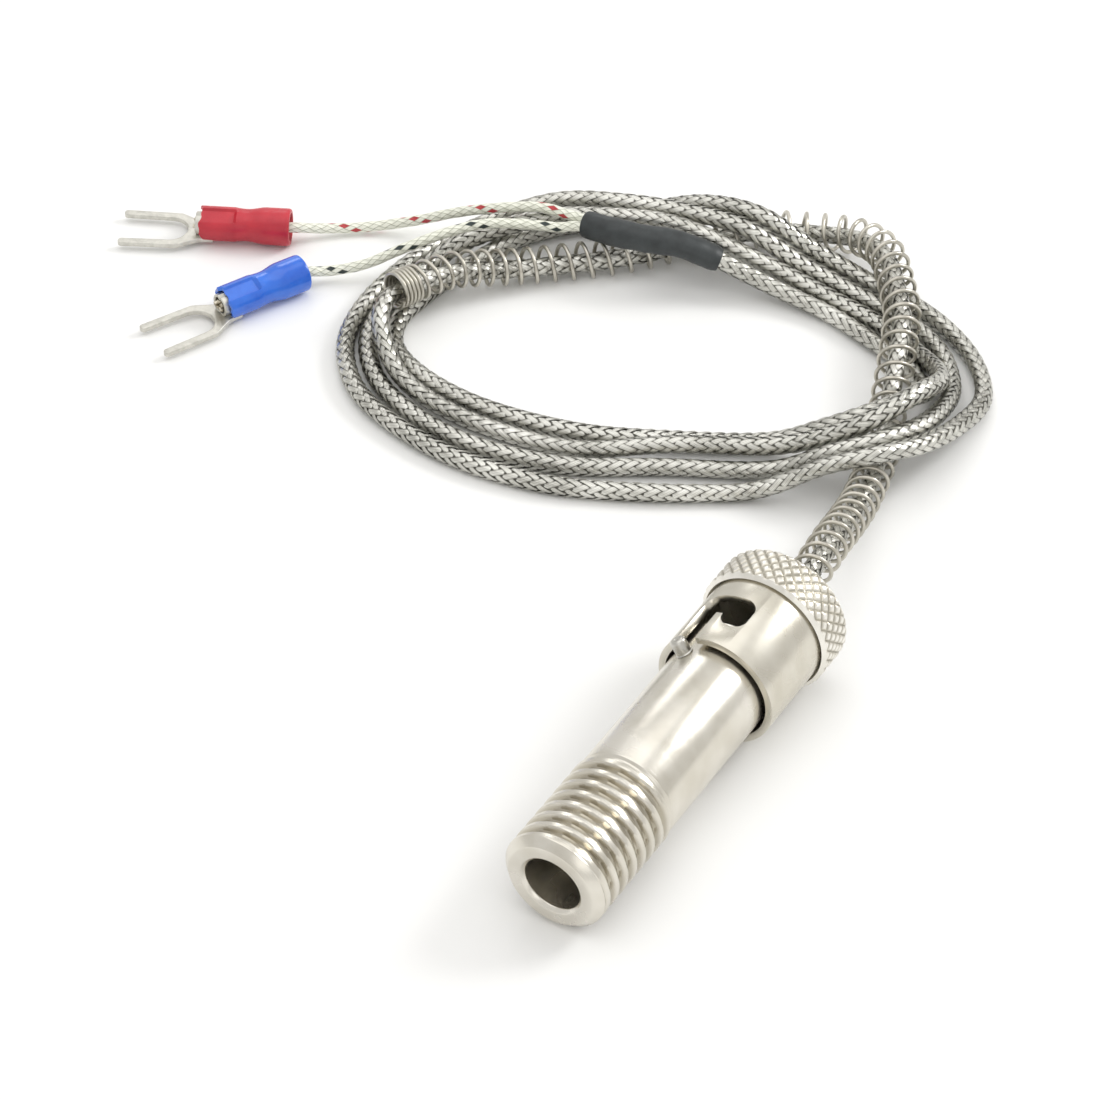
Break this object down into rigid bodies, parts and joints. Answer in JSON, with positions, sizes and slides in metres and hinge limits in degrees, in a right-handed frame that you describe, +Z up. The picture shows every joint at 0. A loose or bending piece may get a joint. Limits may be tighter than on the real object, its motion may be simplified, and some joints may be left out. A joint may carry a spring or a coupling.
{
  "type": "bayonet thermocouple",
  "caption": "Spring-loaded bayonet thermocouple with a threaded adapter, a coiled metal-braided cable and two leads with red and blue insulated fork terminals.",
  "frame": {"origin": "centre of the underside of the adapter and bayonet cap, on the surface that they lie on", "axes": "+Z up; +Y along the adapter from its threaded end towards the cable, which rises 2.4 degrees; +X to the right when looking along +Y"},
  "size_m": [0.1168, 0.1185, 0.0158],
  "materials": {
    "nickel": "satin",
    "steel": "satin",
    "braid": "satin",
    "alloy": "satin",
    "tinned_copper": "matte",
    "ceramic": "matte",
    "shrink": "matte",
    "fibreglass": "matte",
    "red_vinyl": "gloss",
    "blue_vinyl": "gloss"
  },
  "bodies": {
    "sensor": {"probe_tube": "steel", "probe_tip": "steel", "junction_bead": "alloy", "insulator_rod": "ceramic", "wire_positive": "alloy", "wire_negative": "alloy", "crimp_ferrule": "steel", "long_spring": "steel", "braided_cable": "braid", "heat_shrink": "shrink", "lead_positive": "fibreglass", "lead_negative": "fibreglass", "insulator_positive": "red_vinyl", "insulator_negative": "blue_vinyl", "fork_positive": "tinned_copper", "fork_negative": "tinned_copper", "strands_positive": "alloy", "strands_negative": "alloy"},
    "cap": {"bayonet_sleeve": "nickel", "knurled_collar": "nickel"},
    "adapter": {"adapter_body": "nickel", "bayonet_pin": "steel"}
  },
  "joints": [
    {"name": "adapter_slide", "type": "slide", "parent": "sensor", "child": "adapter", "axis": [0, 0.9991, 0.042], "range_m": [-0.03, 0.00705]},
    {"name": "cap_turn", "type": "hinge", "parent": "sensor", "child": "cap", "pos_m": [0, 0.02421, 0.00799], "axis": [0, -0.9991, -0.042], "range_deg": [0, 31]}
  ]
}
